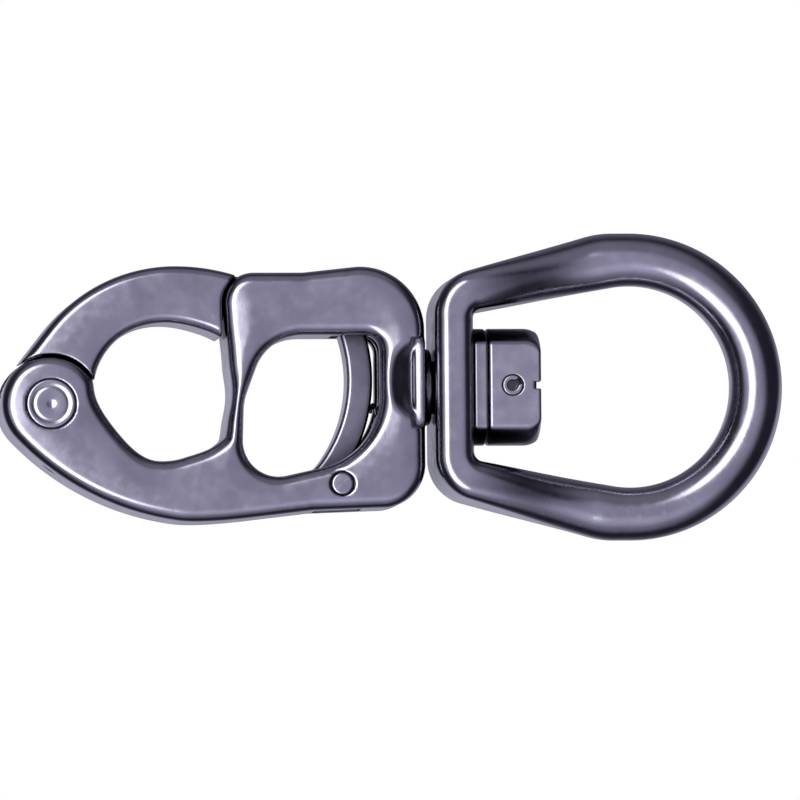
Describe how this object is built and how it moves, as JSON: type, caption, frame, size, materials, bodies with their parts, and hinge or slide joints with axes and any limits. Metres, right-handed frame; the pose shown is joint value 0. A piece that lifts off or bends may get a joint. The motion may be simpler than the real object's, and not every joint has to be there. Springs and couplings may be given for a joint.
{
  "type": "snap shackle",
  "caption": "Trigger-release snap shackle in stainless steel with a swinging gate, a release window and a large swivel bail.",
  "frame": {"origin": "centre of the bounding box, on the swivel axis at the middle of the body's thickness", "axes": "+X along the swivel axis from the jaw to the bail, +Z in the plane of the flat body towards the gate, Y through the body's thickness"},
  "size_m": [0.08, 0.011, 0.0312],
  "materials": {
    "cast_stainless": "tumbled and polished investment-cast stainless steel",
    "turned_stainless": "turned and milled stainless steel",
    "pin_stainless": "drawn stainless steel pin",
    "spring_wire": "bright drawn spring wire"
  },
  "bodies": {
    "frame": {"body": "cast_stainless", "gate_pin": "pin_stainless", "gate_spring": "spring_wire", "trigger_pin": "pin_stainless", "trigger_spring": "spring_wire", "swivel_washer": "turned_stainless", "swivel_nut": "turned_stainless", "nut_roll_pin": "pin_stainless"},
    "gate": {"gate": "cast_stainless"},
    "trigger": {"trigger": "cast_stainless"},
    "bail": {"bail": "cast_stainless"}
  },
  "joints": [
    {"name": "gate_hinge", "type": "hinge", "parent": "frame", "child": "gate", "pos_m": [-0.03505, 0, -0.0018], "axis": [0, -1, 0], "range_deg": [0, 70], "deforming": ["gate_spring"]},
    {"name": "trigger_hinge", "type": "hinge", "parent": "frame", "child": "trigger", "pos_m": [-0.00553, 0, -0.00998], "axis": [0, 1, 0], "range_deg": [0, 9], "stiffness_Nm_per_rad": 0.2, "springref_deg": -11.46, "deforming": ["trigger_spring"]},
    {"name": "bail_swivel", "type": "hinge", "parent": "frame", "child": "bail", "pos_m": [0, 0, 0], "axis": [1, 0, 0], "continuous": true}
  ]
}
